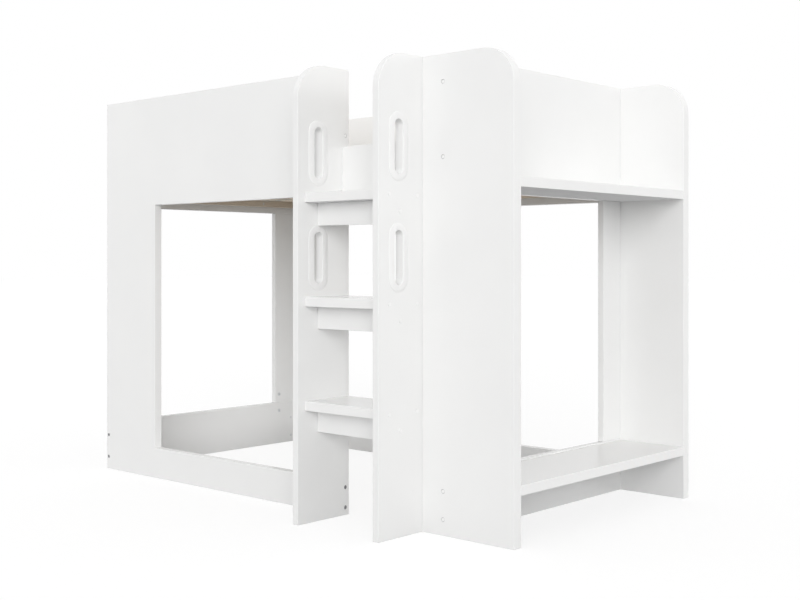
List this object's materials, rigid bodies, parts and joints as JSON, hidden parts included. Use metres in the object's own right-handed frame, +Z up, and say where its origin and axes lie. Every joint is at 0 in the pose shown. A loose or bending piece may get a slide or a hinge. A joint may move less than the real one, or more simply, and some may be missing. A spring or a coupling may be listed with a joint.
{
  "type": "l shaped bunk bed",
  "caption": "Raised child's bed of white boards: guard boards round a slatted base, an open crawl-in front, a built-in ladder with hand-hold slots, and open shelves across one end.",
  "frame": {"origin": "on the floor under the middle of the whole footprint, the ladder included", "axes": "+X along the bed towards the shelf unit, +Y from the ladder side towards the back, +Z up"},
  "size_m": [1.897, 1.105, 1.344],
  "materials": {
    "white_lacquered_board": "satin white lacquer on wood-based board",
    "white_plastic": "moulded, satin",
    "pine": "planed, unpainted",
    "webbing": "woven tape",
    "zinc_plated_steel": "zinc plated",
    "beech": "turned, unfinished"
  },
  "bodies": {
    "root": {"front_panel": "white_lacquered_board", "back_panel": "white_lacquered_board", "access_rail": "white_lacquered_board", "ladder_side_left": "white_lacquered_board", "ladder_side_right": "white_lacquered_board", "tread_lower": "white_lacquered_board", "tread_middle": "white_lacquered_board", "tread_upper": "white_lacquered_board", "riser_lower": "white_lacquered_board", "riser_middle": "white_lacquered_board", "riser_upper": "white_lacquered_board", "shelf_side_front": "white_lacquered_board", "shelf_side_rear": "white_lacquered_board", "shelf_lower": "white_lacquered_board", "shelf_upper": "white_lacquered_board", "left_end_guard": "white_lacquered_board", "left_end_rail": "white_lacquered_board", "left_end_post_front": "white_lacquered_board", "left_end_post_rear": "white_lacquered_board", "right_end_guard": "white_lacquered_board", "right_end_rail": "white_lacquered_board", "right_end_post_front": "white_lacquered_board", "right_end_post_rear": "white_lacquered_board", "hold_trim_left_lower_outer": "white_plastic", "hold_trim_left_lower_inner": "white_plastic", "hold_trim_left_upper_outer": "white_plastic", "hold_trim_left_upper_inner": "white_plastic", "hold_trim_right_lower_outer": "white_plastic", "hold_trim_right_lower_inner": "white_plastic", "hold_trim_right_upper_outer": "white_plastic", "hold_trim_right_upper_inner": "white_plastic", "batten_front": "pine", "batten_rear": "pine", "batten_left": "pine", "batten_right": "pine", "slats": "pine", "slat_strap_front": "webbing", "slat_strap_rear": "webbing", "connector_bolts": "zinc_plated_steel", "barrel_nuts": "zinc_plated_steel", "cam_locks": "zinc_plated_steel", "cam_bolts": "zinc_plated_steel", "cam_studs": "zinc_plated_steel", "dowels": "beech", "tread_screws": "zinc_plated_steel", "tread_screw_caps": "white_plastic", "batten_screws": "zinc_plated_steel", "slat_screws": "zinc_plated_steel"}
  },
  "joints": []
}
